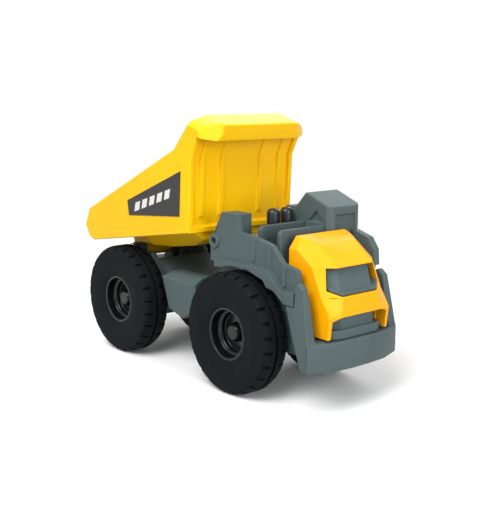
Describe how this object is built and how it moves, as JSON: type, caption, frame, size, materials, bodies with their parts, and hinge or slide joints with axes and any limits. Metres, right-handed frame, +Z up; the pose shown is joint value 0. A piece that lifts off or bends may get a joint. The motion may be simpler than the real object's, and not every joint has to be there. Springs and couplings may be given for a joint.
{
  "type": "toy dump truck",
  "caption": "Chunky toy dump truck with a tipping bed, big free-rolling tyres, an offset cab, a bevelled hood and a wrap-around bumper.",
  "frame": {"origin": "on the ground, under the middle of the truck's bounding box", "axes": "+X towards the truck's front, +Y towards its left side, +Z up; z = 0 is where the tyres meet the ground"},
  "size_m": [0.1296, 0.0504, 0.0936],
  "materials": {
    "bed_yellow": "semi-gloss moulded yellow",
    "hood_orange": "semi-gloss moulded orange-yellow",
    "grey_plastic": "satin moulded slate grey",
    "stack_dark": "glossy dark grey",
    "tyre_black": "matt black",
    "rim_black": "glossy black",
    "steel": "plain steel",
    "decal": "thin printed label"
  },
  "bodies": {
    "truck": {"chassis": "grey_plastic", "front_base_plate": "grey_plastic", "rear_base_plate": "grey_plastic", "base_screws": "steel", "bed_hinge_pin": "steel", "deck": "grey_plastic", "operator_cab": "grey_plastic", "exhaust_stack_right": "stack_dark", "exhaust_stack_left": "stack_dark", "hood": "hood_orange", "grille_panel": "grey_plastic", "radiator_panel": "grey_plastic", "front_bumper": "grey_plastic"},
    "front_wheels": {"front_axle": "steel", "rim_front_right": "rim_black", "rim_front_left": "rim_black", "tyre_front_right": "tyre_black", "tyre_front_left": "tyre_black"},
    "rear_wheels": {"rear_axle": "steel", "rim_rear_right": "rim_black", "rim_rear_left": "rim_black", "tyre_rear_right": "tyre_black", "tyre_rear_left": "tyre_black"},
    "bed": {"dump_bed": "bed_yellow", "decal_right": "decal", "decal_left": "decal"}
  },
  "joints": [
    {"name": "front_wheels_spin", "type": "hinge", "parent": "truck", "child": "front_wheels", "pos_m": [0.025, 0, 0.021], "axis": [0, 1, 0], "continuous": true},
    {"name": "rear_wheels_spin", "type": "hinge", "parent": "truck", "child": "rear_wheels", "pos_m": [-0.042, 0, 0.021], "axis": [0, 1, 0], "continuous": true},
    {"name": "bed_tip", "type": "hinge", "parent": "truck", "child": "bed", "pos_m": [-0.05, 0, 0.0385], "axis": [0, -1, 0], "range_deg": [-7, 35]}
  ]
}
